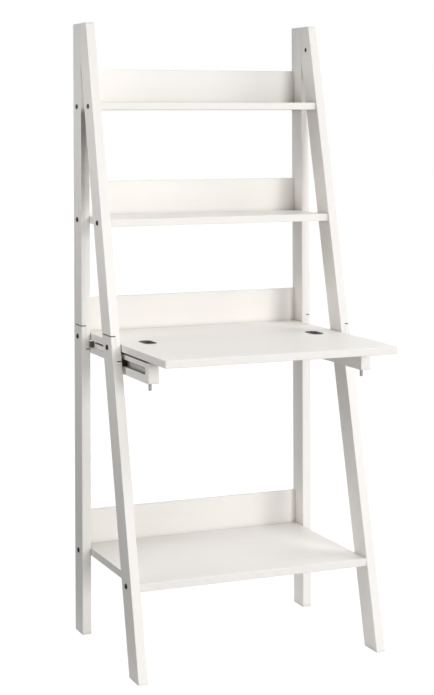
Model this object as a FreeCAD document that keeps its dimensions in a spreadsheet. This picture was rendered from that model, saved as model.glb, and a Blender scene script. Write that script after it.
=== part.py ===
import FreeCAD, Part
import math
import os

import Sketcher
from FreeCAD import Vector

# Ladder desk: two A-shaped end frames, three fixed shelves with low backboards, and a desktop
# that slides forward on grooved rails. Millimetres, Z up, the user sits on the -Y side.
# Every body's own frame has Y = 0 on the plane of the posts' rear faces and X = 0 midway.

SIZES = [
    # whole desk
    ("overall_width", 630),
    ("overall_height", 1524),
    ("desk_depth", 587),
    # end frames
    ("frame_thickness", 23),
    ("post_depth", 60),
    ("leg_width", 63.5),
    ("leg_foot_reach", 472.5),
    ("leg_top_reach", 102.5),
    ("lap_length", 58),
    ("lap_gap", 1.6),
    ("lap_easing", 0.6),
    ("edge_rounding", 1.5),
    ("leg_top_rounding", 9),
    # boards
    ("board_thickness", 18),
    ("backboard_thickness", 12),
    ("backboard_rise", 85),
    ("top_shelf_drop", 199),
    ("shelf_spacing", 283),
    ("desk_height", 750),
    ("bottom_shelf_height", 214),
    ("shelf_setback", 5),
    ("bottom_shelf_setback", 0.5),
    ("desk_side_gap", 1.5),
    ("desk_back_gap", 0.5),
    ("desk_corner_rounding", 4),
    # slide rails below the desktop
    ("rail_inset", 6),
    ("rail_width", 26),
    ("rail_height", 53),
    ("rail_reach", 461),
    ("rail_tail_gap", 1.5),
    ("upper_lip", 17),
    ("groove_height", 17),
    ("groove_depth", 9),
    ("groove_end", 20),
    ("groove_end_rounding", 7),
    ("lower_lip_reach", 240),
    ("rail_corner_rounding", 2.5),
    ("rebate_height", 5),
    ("rebate_depth", 12),
    # runners and what stops the slide
    ("slide_clearance", 0.5),
    ("runner_height", 13),
    ("runner_back_margin", 4),
    ("glide_length", 12),
    ("glide_setback", 10),
    ("stop_length", 9),
    ("stop_height", 10),
    ("stop_overlap", 3),
    ("stop_gap", 0.5),
    ("runner_rounding", 1),
    ("glide_rounding", 1.5),
    ("stop_rounding", 0.5),
    # pins under the rails
    ("pin_diameter", 7.5),
    ("pin_drop", 18),
    ("pin_grip", 15),
    ("pin_margin", 25),
    ("pin_rounding", 1),
    # cable grommets
    ("grommet_width", 32),
    ("grommet_length", 62),
    ("grommet_flange", 2),
    ("grommet_flange_height", 1.2),
    ("grommet_wall", 2),
    ("grommet_rounding", 15),
    ("grommet_rim_rounding", 0.7),
    ("grommet_side_margin", 70),
    ("grommet_reach", 281),
    # frame bolts and their threaded inserts
    ("bolt_diameter", 6),
    ("bolt_head_diameter", 12.5),
    ("bolt_head_height", 2.6),
    ("bolt_head_chamfer", 0.8),
    ("bolt_socket", 4),
    ("bolt_socket_depth", 1.6),
    ("bolt_grip", 12),
    ("lap_bolt_grip", 8),
    ("insert_diameter", 10),
    ("insert_length", 13),
    ("lap_insert_length", 9),
    ("insert_end_gap", 0.6),
    ("insert_bore_clearance", 0.1),
    ("hole_clearance", 0.3),
    # cam fasteners that draw each front leg's top to its post
    ("cam_diameter", 12),
    ("cam_length", 11.5),
    ("cam_reach", 27),
    ("cam_drop", 61),
    ("cam_slot_width", 1.6),
    ("cam_slot_length", 8.6),
    ("cam_slot_depth", 1.2),
    ("cam_cavity_margin", 1),
    ("cam_dowel_diameter", 6),
    ("cam_dowel_head", 5),
    ("cam_dowel_inset", 8),
    ("cam_dowel_grip", 12),
    # backboard dowels
    ("dowel_diameter", 6),
    ("dowel_post_depth", 10),
    ("dowel_board_depth", 18),
    ("dowel_margin", 22),
    ("dowel_end_gap", 0.5),
    # screws
    ("screw_diameter", 3.5),
    ("screw_head_diameter", 7),
    ("screw_head_height", 2.2),
    ("screw_head_chamfer", 0.5),
    ("runner_screw_length", 28),
    ("runner_screw_offset", 12),
    ("glide_screw_length", 25),
    ("rail_screw_length", 35),
    ("rail_screw_grip", 12),
    ("rail_screw_first", 105),
    ("rail_screw_spacing", 150),
    ("stop_screw_length", 25),
    ("screw_tip_gap", 0.5),
]

document = FreeCAD.newDocument("LadderDesk")
sheet = document.addObject("Spreadsheet::Sheet", "Sizes")
for row, (alias, value) in enumerate(SIZES, start=1):
    sheet.set("A%d" % row, alias.replace("_", " "))
    sheet.set("B%d" % row, str(value))
    sheet.setAlias("B%d" % row, alias)
document.recompute()

TOLERANCE = 1e-3
ALONG_X = Vector(1, 0, 0)
ALONG_Y = Vector(0, 1, 0)
ALONG_Z = Vector(0, 0, 1)

# Formulas that more than one piece needs.
HALF_WIDTH = "(Sizes.overall_width / 2)"
INNER_FACE = "(Sizes.overall_width / 2 - Sizes.frame_thickness)"
HALF_THICKNESS = "(Sizes.frame_thickness / 2)"
LEAN = "((Sizes.leg_foot_reach - Sizes.leg_top_reach) / Sizes.overall_height)"
LEG_DEPTH = f"(Sizes.leg_width * sqrt(1 + {LEAN} * {LEAN}))"
TOP_SHELF_HEIGHT = "(Sizes.overall_height - Sizes.top_shelf_drop)"
MIDDLE_SHELF_HEIGHT = f"({TOP_SHELF_HEIGHT} - Sizes.shelf_spacing)"
UPPER_SHELF_HEIGHTS = [MIDDLE_SHELF_HEIGHT, TOP_SHELF_HEIGHT]
SHELVES = [
    ("top", TOP_SHELF_HEIGHT, "Sizes.shelf_setback"),
    ("middle", MIDDLE_SHELF_HEIGHT, "Sizes.shelf_setback"),
    ("bottom", "Sizes.bottom_shelf_height", "Sizes.bottom_shelf_setback"),
]
DESK_MIDDLE = "(Sizes.desk_height - Sizes.board_thickness / 2)"
DESK_UNDERSIDE = "(Sizes.desk_height - Sizes.board_thickness)"
LAP_TOP = f"({DESK_MIDDLE} + Sizes.lap_length / 2)"
LAP_BOTTOM = f"({DESK_MIDDLE} - Sizes.lap_length / 2)"
LOWER_LAP_TOP = f"({LAP_TOP} - Sizes.lap_gap)"
LOWER_LAP_BOTTOM = f"({LAP_BOTTOM} - Sizes.lap_gap)"
POST_CENTRE = "(-Sizes.post_depth / 2)"
CAM_HEIGHT = "(Sizes.overall_height - Sizes.cam_drop)"
CAM_CENTRE = "(-Sizes.post_depth - Sizes.cam_reach)"
BOLT_HOLE = "(Sizes.bolt_diameter + 2 * Sizes.hole_clearance)"
INSERT_HOLE = "(Sizes.insert_diameter + Sizes.hole_clearance)"
DOWEL_HOLE = "(Sizes.dowel_diameter + Sizes.hole_clearance)"
SCREW_HOLE = "(Sizes.screw_diameter + Sizes.hole_clearance)"
SCREW_HEAD_HOLE = "(Sizes.screw_head_diameter + Sizes.hole_clearance)"
DESK_HALF_WIDTH = f"({INNER_FACE} - Sizes.desk_side_gap)"
DESK_BACK = "(-Sizes.backboard_thickness - Sizes.desk_back_gap)"
RAIL_OUTER = f"({DESK_HALF_WIDTH} - Sizes.rail_inset)"
RAIL_INNER = f"({RAIL_OUTER} - Sizes.rail_width)"
RAIL_TAIL = "(-Sizes.post_depth - Sizes.rail_tail_gap)"
RAIL_BOTTOM = f"({DESK_UNDERSIDE} - Sizes.rail_height)"
RAIL_CENTRE = f"({RAIL_INNER} + Sizes.rail_width / 2)"
WEB_CENTRE = f"({RAIL_INNER} + (Sizes.rail_width - Sizes.groove_depth) / 2)"
GROOVE_TOP = f"({DESK_UNDERSIDE} - Sizes.upper_lip)"
GROOVE_BOTTOM = f"({GROOVE_TOP} - Sizes.groove_height)"
GROOVE_MIDDLE = f"({GROOVE_TOP} - Sizes.groove_height / 2)"
GROOVE_WALL = f"({RAIL_OUTER} - Sizes.groove_depth)"
RUNNER_INNER = f"({GROOVE_WALL} + Sizes.slide_clearance)"
RUNNER_TOP = f"({GROOVE_TOP} - Sizes.slide_clearance)"
RUNNER_BOTTOM = f"({RUNNER_TOP} - Sizes.runner_height)"
GLIDE_BOTTOM = f"({GROOVE_BOTTOM} + Sizes.slide_clearance)"
RUNNER_THICKNESS = f"({INNER_FACE} - {RUNNER_INNER})"
REBATE_BOTTOM = f"({DESK_UNDERSIDE} - Sizes.rebate_height)"
STOP_BOTTOM = f"(({GROOVE_TOP} + {REBATE_BOTTOM} - Sizes.stop_height) / 2)"
STOP_BACK = "(-Sizes.post_depth - Sizes.stop_gap)"
STOP_MIDDLE_Y = f"({STOP_BACK} - Sizes.stop_length / 2)"
STOP_MIDDLE_Z = f"({STOP_BOTTOM} + Sizes.stop_height / 2)"
STOP_WIDTH = f"({INNER_FACE} + Sizes.stop_overlap - {RAIL_OUTER})"
STOP_SCREW_HOLE = f"(Sizes.stop_screw_length - {STOP_WIDTH} + Sizes.screw_tip_gap)"
SCREW_SEAT = "Sizes.screw_head_height"
RAIL_SCREW_HEAD = f"({DESK_UNDERSIDE} + Sizes.rail_screw_grip - Sizes.rail_screw_length)"
RAIL_SCREW_SEAT = f"({RAIL_SCREW_HEAD} + Sizes.screw_head_height)"
PIN_Y = "(-Sizes.rail_reach + Sizes.pin_margin)"
PIN_HOLE = "(Sizes.pin_diameter + Sizes.hole_clearance)"
PIN_HOLE_DEPTH = "(Sizes.pin_grip + Sizes.screw_tip_gap)"
RUNNER_SCREW_HOLE = f"(Sizes.runner_screw_length - {RUNNER_THICKNESS} + Sizes.screw_tip_gap)"
INSERT_HOLE_DEPTH = "(Sizes.insert_length + Sizes.insert_end_gap)"
LAP_INSERT_HOLE = "(Sizes.lap_insert_length + Sizes.insert_end_gap)"
CAM_HOLE = "(Sizes.cam_diameter + Sizes.hole_clearance)"
CAM_HOLE_DEPTH = "(Sizes.cam_length + Sizes.insert_end_gap)"
CAM_DOWEL_HOLE = "(Sizes.cam_dowel_diameter + Sizes.hole_clearance)"
CAM_DOWEL_BITE = "(Sizes.cam_dowel_grip + Sizes.screw_tip_gap)"
GROMMET_X = f"({DESK_HALF_WIDTH} - Sizes.grommet_side_margin)"
GROMMET_HOLE_INSET = "(Sizes.grommet_flange - Sizes.hole_clearance / 2)"


def leg_reach(height):
    """How far a front leg's front edge stands from the rear plane at a height."""
    return f"(Sizes.leg_foot_reach - {LEAN} * ({height}))"


def leg_centre(height):
    """Y of a front leg's middle line at a height."""
    return f"(-{leg_reach(height)} + {LEG_DEPTH} / 2)"


GLIDE_FRONT = f"(-{leg_reach(GROOVE_MIDDLE)} + Sizes.glide_setback)"
RUNNER_FRONT = f"({GLIDE_FRONT} + Sizes.glide_length)"
RUNNER_LEG_SCREW = f"({leg_centre(GROOVE_MIDDLE)} + Sizes.runner_screw_offset)"


def board_middle(board_top):
    """Height of the middle of a board whose upper face is at board_top."""
    return f"({board_top} - Sizes.board_thickness / 2)"


def new_body(label, x="0", y="0", z="0"):
    body = document.addObject("PartDesign::Body", label)
    body.Label = label
    body.AllowCompound = True
    body.setExpression("Placement.Base.x", x)
    body.setExpression("Placement.Base.y", f"Sizes.desk_depth / 2 + {y}")
    body.setExpression("Placement.Base.z", z)
    return body


def origin_part(body, role):
    return next(part for part in body.Origin.OriginFeatures if part.Role == role)


def new_sketch(body, role, shift=("0", "0", "0")):
    """Sketch on one of the body's origin planes; the third shift runs along the plane's normal."""
    sketch = body.newObject("Sketcher::SketchObject", body.Label + "_sketch")
    sketch.AttachmentSupport = [(origin_part(body, role), "")]
    sketch.MapMode = "FlatFace"
    for axis, formula in zip("xyz", shift):
        sketch.setExpression(f"AttachmentOffset.Base.{axis}", formula)
    return sketch


def dimension(sketch, constraint, formula):
    sketch.setExpression(f"Constraints[{sketch.addConstraint(constraint)}]", formula)


def fix_point(sketch, geometry, point, place):
    """Dimension a point from the sketch's origin."""
    for kind, formula in zip(("DistanceX", "DistanceY"), place):
        dimension(sketch, Sketcher.Constraint(kind, -1, 1, geometry, point, 1.0), formula)


def draw_outline(sketch, corners):
    """Closed outline of straight lines through the corners."""
    count = len(corners)
    start = [Vector(math.cos(2 * math.pi * i / count), math.sin(2 * math.pi * i / count), 0)
             for i in range(count)]
    lines = [sketch.addGeometry(Part.LineSegment(start[i], start[(i + 1) % count]), False)
             for i in range(count)]
    for i in range(count):
        sketch.addConstraint(Sketcher.Constraint("Coincident", lines[i], 2, lines[(i + 1) % count], 1))
    for line, corner in zip(lines, corners):
        fix_point(sketch, line, 1, corner)


def draw_rectangle(sketch, low, high):
    draw_outline(sketch, [low, (high[0], low[1]), high, (low[0], high[1])])


def draw_circles(sketch, centres, diameter):
    for i, centre in enumerate(centres):
        circle = sketch.addGeometry(Part.Circle(Vector(3 * i, 0, 0), ALONG_Z, 1), False)
        fix_point(sketch, circle, 3, centre)
        dimension(sketch, Sketcher.Constraint("Diameter", circle, 2.0), diameter)


def pad(body, sketch, length, midplane=False):
    feature = body.newObject("PartDesign::Pad", body.Label + "_pad")
    feature.Profile = sketch
    feature.Midplane = midplane
    feature.setExpression("Length", length)
    return feature


def pocket(body, sketch, length, along_normal=False):
    feature = body.newObject("PartDesign::Pocket", body.Label + "_pocket")
    feature.Profile = sketch
    feature.Reversed = along_normal
    feature.setExpression("Length", length)
    return feature


def revolve(body, sketch, axis):
    feature = body.newObject("PartDesign::Revolution", body.Label + "_revolution")
    feature.Profile = sketch
    feature.ReferenceAxis = (sketch, [axis])
    feature.Angle = 360
    return feature


def repeat(body, features, axis, spacing, occurrences=2):
    """Repeat features upwards along Z or forwards along -Y."""
    pattern = body.newObject("PartDesign::LinearPattern", body.Label + "_row")
    pattern.Reversed = axis == "Y_Axis"
    pattern.Originals = features
    pattern.Direction = (origin_part(body, axis), [""])
    pattern.Mode = "Spacing"
    pattern.Occurrences = occurrences
    pattern.setExpression("Offset", spacing)
    body.Tip = pattern
    return pattern


def mirror(body, features=None):
    """Mirror the named features, or the whole body, left to right."""
    document.recompute()
    mirrored = body.newObject("PartDesign::Mirrored", body.Label + "_mirrored")
    mirrored.MirrorPlane = (origin_part(body, "YZ_Plane"), [""])
    if features is None:
        mirrored.TransformMode = "Whole shape"
    else:
        mirrored.Originals = features
    body.Tip = mirrored
    return mirrored


def round_edges(body, radius, wanted):
    """Fillet the edges of the body's tip that wanted(edge) picks."""
    document.recompute()
    tip = body.Tip
    names = [f"Edge{i}" for i, edge in enumerate(tip.Shape.Edges, start=1) if wanted(edge)]
    fillet = body.newObject("PartDesign::Fillet", body.Label + "_rounding")
    fillet.Base = (tip, names)
    fillet.setExpression("Radius", radius)
    return fillet


def body_extent(body):
    document.recompute()
    return body.Tip.Shape.BoundBox


def runs_along(edge, axis):
    return isinstance(edge.Curve, Part.Line) and edge.Curve.Direction.cross(axis).Length < TOLERANCE


def lies_at(edge, side, value):
    """True where the whole edge lies in the plane side (X, Y or Z) = value."""
    box = edge.BoundBox
    return (abs(getattr(box, side + "Min") - value) < TOLERANCE
            and abs(getattr(box, side + "Max") - value) < TOLERANCE)


def is_on_outline(edge, extent):
    """True for an edge in one of the four upright planes round a board."""
    return any(lies_at(edge, side, getattr(extent, side + end)) for side in "XY" for end in ("Min", "Max"))


def is_edge_of_face(edge, faces):
    """True for the outline edges in the planes X = face that aren't the rim of a hole."""
    return not edge.isClosed() and any(lies_at(edge, "X", face) for face in faces)


def size_of(alias):
    return float(sheet.get(alias))


def drill(body, role, start, centres, diameter, depth, along_normal=False):
    """Round holes from the plane at start along (or against) its normal."""
    sketch = new_sketch(body, role, ("0", "0", start))
    draw_circles(sketch, centres, diameter)
    return pocket(body, sketch, depth, along_normal)


# --- end frames -------------------------------------------------------------------------------
# Each frame has an upright rear post and a leaning front leg. Both are cut in two at desk height
# by a half-lap: the lower piece keeps its outer half there, the upper piece its inner half, and
# a narrow gap stays open at both shoulders.

def post_outline(bottom, top):
    """Side outline of a post between two heights, as (Y, Z) corners."""
    return [("-Sizes.post_depth", bottom), ("0", bottom), ("0", top), ("-Sizes.post_depth", top)]


def leg_outline(bottom, top):
    return [
        (f"(-{leg_reach(bottom)})", bottom),
        (f"(-{leg_reach(bottom)} + {LEG_DEPTH})", bottom),
        (f"(-{leg_reach(top)} + {LEG_DEPTH})", top),
        (f"(-{leg_reach(top)})", top),
    ]


def upper_leg_outline(bottom):
    """The upper leg's rear edge turns upright where it meets the post."""
    meeting = f"((Sizes.leg_foot_reach - {LEG_DEPTH} - Sizes.post_depth) / {LEAN})"
    top = "Sizes.overall_height"
    return [
        (f"(-{leg_reach(bottom)})", bottom),
        (f"(-{leg_reach(bottom)} + {LEG_DEPTH})", bottom),
        ("-Sizes.post_depth", meeting),
        ("-Sizes.post_depth", top),
        (f"(-{leg_reach(top)})", top),
    ]


def post_bolt(board_top):
    """(Y, Z) of the bolt that holds a board to a post."""
    return (POST_CENTRE, board_middle(board_top))


def leg_bolt(board_top):
    return (leg_centre(board_middle(board_top)), board_middle(board_top))


def backboard_dowels(board_top):
    """(Y, Z) of the two dowels in each end of the backboard that stands with a board."""
    middle = "(-Sizes.backboard_thickness / 2)"
    low = f"({board_top} - Sizes.board_thickness + Sizes.dowel_margin)"
    high = f"({board_top} + Sizes.backboard_rise - Sizes.dowel_margin)"
    return [(middle, low), (middle, high)]


class FramePiece:
    """A post or leg segment whose X runs from 0 to the frame's thickness."""

    def __init__(self, side, name, outline):
        self.left = side == "left"
        self.body = new_body(f"{side}_{name}", x=f"-{HALF_WIDTH}" if self.left else INNER_FACE)
        sketch = new_sketch(self.body, "YZ_Plane")
        draw_outline(sketch, outline)
        pad(self.body, sketch, "Sizes.frame_thickness")

    def cut_lap(self, outline, half):
        """Take the inner or the outer half away inside the outline."""
        sketch = new_sketch(self.body, "YZ_Plane", ("0", "0", HALF_THICKNESS))
        draw_outline(sketch, outline)
        pocket(self.body, sketch, HALF_THICKNESS, along_normal=self.left == (half == "inner"))

    def drill_through(self, centres, diameter):
        drill(self.body, "YZ_Plane", "0", centres, diameter, "Sizes.frame_thickness", along_normal=True)

    def drill_from_inner_face(self, centres, diameter, depth):
        start = "Sizes.frame_thickness" if self.left else "0"
        drill(self.body, "YZ_Plane", start, centres, diameter, depth, along_normal=not self.left)

    def drill_from_lap(self, centres, diameter, depth):
        """Blind holes from the middle plane into the inner half."""
        drill(self.body, "YZ_Plane", HALF_THICKNESS, centres, diameter, depth, along_normal=self.left)

    def from_inner_face(self, distance):
        return f"(Sizes.frame_thickness - {distance})" if self.left else distance

    def round_outline(self):
        """Ease the edges of both side faces and of the lap, but not the foot or the shoulders."""
        faces = (0.0, size_of("frame_thickness"))
        top = size_of("overall_height")
        round_edges(self.body, "Sizes.edge_rounding", lambda edge: is_edge_of_face(edge, faces)
                    and (edge.BoundBox.ZLength > TOLERANCE or lies_at(edge, "Z", top)))
        middle = size_of("frame_thickness") / 2
        round_edges(self.body, "Sizes.lap_easing", lambda edge: is_edge_of_face(edge, [middle])
                    and edge.BoundBox.ZLength > TOLERANCE)


def make_lower_post(side):
    piece = FramePiece(side, "rear_post_lower", post_outline("0", LOWER_LAP_TOP))
    piece.cut_lap(post_outline(LOWER_LAP_BOTTOM, LOWER_LAP_TOP), "inner")
    piece.drill_through([post_bolt("Sizes.bottom_shelf_height"), post_bolt("Sizes.desk_height")], BOLT_HOLE)
    piece.drill_from_inner_face(backboard_dowels("Sizes.bottom_shelf_height"), DOWEL_HOLE,
                                "Sizes.dowel_post_depth")
    piece.drill_from_inner_face([(POST_CENTRE, GROOVE_MIDDLE)], SCREW_HOLE, RUNNER_SCREW_HOLE)
    piece.round_outline()


def make_upper_post(side):
    piece = FramePiece(side, "rear_post_upper", post_outline(LAP_BOTTOM, "Sizes.overall_height"))
    piece.cut_lap(post_outline(LAP_BOTTOM, LAP_TOP), "outer")
    piece.drill_through([post_bolt(board_top) for board_top in UPPER_SHELF_HEIGHTS], BOLT_HOLE)
    piece.drill_from_lap([post_bolt("Sizes.desk_height")], INSERT_HOLE, LAP_INSERT_HOLE)
    for board_top in ["Sizes.desk_height"] + UPPER_SHELF_HEIGHTS:
        piece.drill_from_inner_face(backboard_dowels(board_top), DOWEL_HOLE, "Sizes.dowel_post_depth")
    screw_hole = (piece.from_inner_face("Sizes.cam_dowel_inset"), CAM_HEIGHT)
    drill(piece.body, "XZ_Plane", "Sizes.post_depth", [screw_hole], CAM_DOWEL_HOLE, CAM_DOWEL_BITE)
    piece.round_outline()


def make_lower_leg(side):
    piece = FramePiece(side, "front_leg_lower", leg_outline("0", LOWER_LAP_TOP))
    piece.cut_lap(leg_outline(LOWER_LAP_BOTTOM, LOWER_LAP_TOP), "inner")
    piece.drill_through([leg_bolt("Sizes.bottom_shelf_height"), leg_bolt("Sizes.desk_height")], BOLT_HOLE)
    piece.drill_from_inner_face([(RUNNER_LEG_SCREW, GROOVE_MIDDLE)], SCREW_HOLE, RUNNER_SCREW_HOLE)
    piece.round_outline()


def make_upper_leg(side):
    piece = FramePiece(side, "front_leg_upper", upper_leg_outline(LAP_BOTTOM))
    front = -size_of("leg_top_reach")
    round_edges(piece.body, "Sizes.leg_top_rounding", lambda edge: lies_at(edge, "Y", front)
                and runs_along(edge, ALONG_X))
    piece.cut_lap(leg_outline(LAP_BOTTOM, LAP_TOP), "outer")
    piece.drill_through([leg_bolt(board_top) for board_top in UPPER_SHELF_HEIGHTS], BOLT_HOLE)
    piece.drill_from_lap([leg_bolt("Sizes.desk_height")], INSERT_HOLE, LAP_INSERT_HOLE)
    piece.drill_from_inner_face([(CAM_CENTRE, CAM_HEIGHT)], CAM_HOLE, CAM_HOLE_DEPTH)
    channel = (piece.from_inner_face("Sizes.cam_dowel_inset"), CAM_HEIGHT)
    drill(piece.body, "XZ_Plane", "Sizes.post_depth", [channel], CAM_DOWEL_HOLE, "Sizes.cam_reach",
          along_normal=True)
    piece.round_outline()


# --- boards -----------------------------------------------------------------------------------

def make_shelf(name, board_top, setback):
    """Fixed shelf between the frames, behind the legs' front edges by the setback."""
    body = new_body(f"{name}_shelf", z=f"({board_top} - Sizes.board_thickness)")
    front = f"(-{leg_reach(board_top)} + {setback})"
    sketch = new_sketch(body, "XY_Plane")
    draw_rectangle(sketch, (f"-{INNER_FACE}", front), (INNER_FACE, "-Sizes.backboard_thickness"))
    pad(body, sketch, "Sizes.board_thickness")
    extent = body_extent(body)
    round_edges(body, "Sizes.edge_rounding", lambda edge: runs_along(edge, ALONG_X)
                and lies_at(edge, "Y", extent.YMin))
    middle = "(Sizes.board_thickness / 2)"
    centres = [(POST_CENTRE, middle), (leg_centre(board_middle(board_top)), middle)]
    holes = drill(body, "YZ_Plane", f"-{INNER_FACE}", centres, INSERT_HOLE, INSERT_HOLE_DEPTH,
                  along_normal=True)
    mirror(body, [holes])


def make_backboard(name, board_top):
    """Low board that stands on edge between the posts, from the shelf's underside up."""
    body = new_body(f"{name}_backboard", z=f"({board_top} - Sizes.board_thickness)")
    height = "(Sizes.board_thickness + Sizes.backboard_rise)"
    sketch = new_sketch(body, "XZ_Plane")
    draw_rectangle(sketch, (f"-{INNER_FACE}", "0"), (INNER_FACE, height))
    pad(body, sketch, "Sizes.backboard_thickness")
    extent = body_extent(body)
    round_edges(body, "Sizes.edge_rounding", lambda edge: runs_along(edge, ALONG_X)
                and lies_at(edge, "Z", extent.ZMax))
    middle = "(-Sizes.backboard_thickness / 2)"
    centres = [(middle, "Sizes.dowel_margin"), (middle, f"({height} - Sizes.dowel_margin)")]
    holes = drill(body, "YZ_Plane", f"-{INNER_FACE}", centres, DOWEL_HOLE, "Sizes.dowel_board_depth",
                  along_normal=True)
    mirror(body, [holes])


def grommet_rectangle(centre_x, centre_y, inset):
    """Low and high corners of a rectangle inset from the grommet's flange."""
    half_width = f"(Sizes.grommet_width / 2 - {inset})"
    half_length = f"(Sizes.grommet_length / 2 - {inset})"
    return ((f"({centre_x} - {half_width})", f"({centre_y} - {half_length})"),
            (f"({centre_x} + {half_width})", f"({centre_y} + {half_length})"))


def make_desktop():
    body = new_body("desktop", z=DESK_UNDERSIDE)
    sketch = new_sketch(body, "XY_Plane")
    draw_rectangle(sketch, (f"-{DESK_HALF_WIDTH}", "-Sizes.desk_depth"), (DESK_HALF_WIDTH, DESK_BACK))
    pad(body, sketch, "Sizes.board_thickness")
    extent = body_extent(body)
    round_edges(body, "Sizes.desk_corner_rounding", lambda edge: runs_along(edge, ALONG_Z)
                and lies_at(edge, "Y", extent.YMin))
    round_edges(body, "Sizes.edge_rounding", lambda edge: lies_at(edge, "Z", extent.ZMax)
                or lies_at(edge, "Z", extent.ZMin))
    sketch = new_sketch(body, "XY_Plane")
    for side in ("-", ""):
        low, high = grommet_rectangle(f"{side}{GROMMET_X}", "(-Sizes.grommet_reach)", GROMMET_HOLE_INSET)
        draw_rectangle(sketch, low, high)
    pocket(body, sketch, "Sizes.board_thickness", along_normal=True)
    round_edges(body, f"(Sizes.grommet_rounding - {GROMMET_HOLE_INSET})",
                lambda edge: runs_along(edge, ALONG_Z) and not is_on_outline(edge, extent))
    centres = [(f"{side}{WEB_CENTRE}", "-Sizes.rail_screw_first") for side in ("-", "")]
    pilots = drill(body, "XY_Plane", "0", centres, SCREW_HOLE,
                   "(Sizes.rail_screw_grip + Sizes.screw_tip_gap)", along_normal=True)
    repeat(body, [pilots], "Y_Axis", "Sizes.rail_screw_spacing", 3)


# --- slide ------------------------------------------------------------------------------------
# Two rails are screwed under the desktop. Each has a rebate along its upper outer corner and below
# it a groove, open at the tail, that rides on a runner fixed to the frame. A glide block closes the
# runner's front end, and a stop block on the rail's tail travels between rear post and front leg.

def mirrored_span(side, inner, outer):
    """Low X and width of a span of X on the left or the right."""
    low = f"-{outer}" if side == "left" else inner
    return low, f"({outer} - {inner})"


def make_block(label, side, span_x, span_y, span_z):
    """Rectangular block that starts as a side outline padded along X."""
    low, width = mirrored_span(side, *span_x)
    body = new_body(label, x=low)
    sketch = new_sketch(body, "YZ_Plane")
    draw_rectangle(sketch, (span_y[0], span_z[0]), (span_y[1], span_z[1]))
    pad(body, sketch, width)
    return body, width


def drill_block(body, side, width, centres, diameter, depth, from_side):
    """Holes along X into the inner or the outer side of a body whose X runs from 0 to width."""
    starts_low = (side == "left") == (from_side == "outer")
    drill(body, "YZ_Plane", "0" if starts_low else width, centres, diameter, depth, along_normal=starts_low)


def make_slide_rail(side):
    low, width = mirrored_span(side, RAIL_INNER, RAIL_OUTER)
    body = new_body(f"{side}_slide_rail", x=low)
    sketch = new_sketch(body, "YZ_Plane")
    draw_outline(sketch, [
        (RAIL_TAIL, DESK_UNDERSIDE),
        ("-Sizes.rail_reach", DESK_UNDERSIDE),
        ("-Sizes.rail_reach", RAIL_BOTTOM),
        ("-Sizes.lower_lip_reach", RAIL_BOTTOM),
        ("-Sizes.lower_lip_reach", GROOVE_BOTTOM),
        (RAIL_TAIL, GROOVE_BOTTOM),
    ])
    pad(body, sketch, width)
    extent = body_extent(body)
    round_edges(body, "Sizes.rail_corner_rounding", lambda edge: lies_at(edge, "Y", extent.YMin)
                and not lies_at(edge, "Z", extent.ZMax))
    groove_front = "(-Sizes.rail_reach + Sizes.groove_end)"
    for low, high, depth in (
            (("-Sizes.rail_reach", REBATE_BOTTOM), (RAIL_TAIL, DESK_UNDERSIDE), "Sizes.rebate_depth"),
            ((groove_front, GROOVE_BOTTOM), (RAIL_TAIL, GROOVE_TOP), "Sizes.groove_depth")):
        sketch = new_sketch(body, "YZ_Plane", ("0", "0", "0" if side == "left" else width))
        draw_rectangle(sketch, low, high)
        pocket(body, sketch, depth, along_normal=side == "left")
    groove_end = extent.YMin + size_of("groove_end")
    round_edges(body, "Sizes.groove_end_rounding", lambda edge: lies_at(edge, "Y", groove_end)
                and runs_along(edge, ALONG_X))
    across = "(Sizes.rail_width / 2)"
    drill(body, "XY_Plane", RAIL_BOTTOM, [(across, PIN_Y)], PIN_HOLE, PIN_HOLE_DEPTH,
          along_normal=True)
    web = "(Sizes.groove_depth + (Sizes.rail_width - Sizes.groove_depth) / 2)"
    screw_x = web if side == "left" else "((Sizes.rail_width - Sizes.groove_depth) / 2)"
    first = [(screw_x, "-Sizes.rail_screw_first")]
    shank = drill(body, "XY_Plane", RAIL_BOTTOM, first, SCREW_HOLE, "Sizes.rail_height", along_normal=True)
    seat = drill(body, "XY_Plane", RAIL_BOTTOM, first, SCREW_HEAD_HOLE,
                 f"({RAIL_SCREW_SEAT} - {RAIL_BOTTOM})", along_normal=True)
    repeat(body, [shank, seat], "Y_Axis", "Sizes.rail_screw_spacing", 3)
    stop_hole = [(STOP_MIDDLE_Y, STOP_MIDDLE_Z)]
    drill_block(body, side, width, stop_hole, SCREW_HOLE, STOP_SCREW_HOLE, "outer")


def make_runner(side):
    span_y = (RUNNER_FRONT, "-Sizes.runner_back_margin")
    body, width = make_block(f"{side}_runner", side, (RUNNER_INNER, INNER_FACE), span_y,
                             (RUNNER_BOTTOM, RUNNER_TOP))
    extent = body_extent(body)
    groove_face = extent.XMax if side == "left" else extent.XMin
    round_edges(body, "Sizes.runner_rounding", lambda edge: lies_at(edge, "X", groove_face)
                and runs_along(edge, ALONG_Y))
    centres = [(POST_CENTRE, GROOVE_MIDDLE), (RUNNER_LEG_SCREW, GROOVE_MIDDLE)]
    drill_block(body, side, width, centres, SCREW_HOLE, width, "inner")
    drill_block(body, side, width, centres, SCREW_HEAD_HOLE, SCREW_SEAT, "inner")
    drill(body, "XZ_Plane", f"-{RUNNER_FRONT}", [(f"({width} / 2)", GROOVE_MIDDLE)], SCREW_HOLE,
          "(Sizes.glide_screw_length - Sizes.glide_length + Sizes.screw_tip_gap)")


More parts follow.
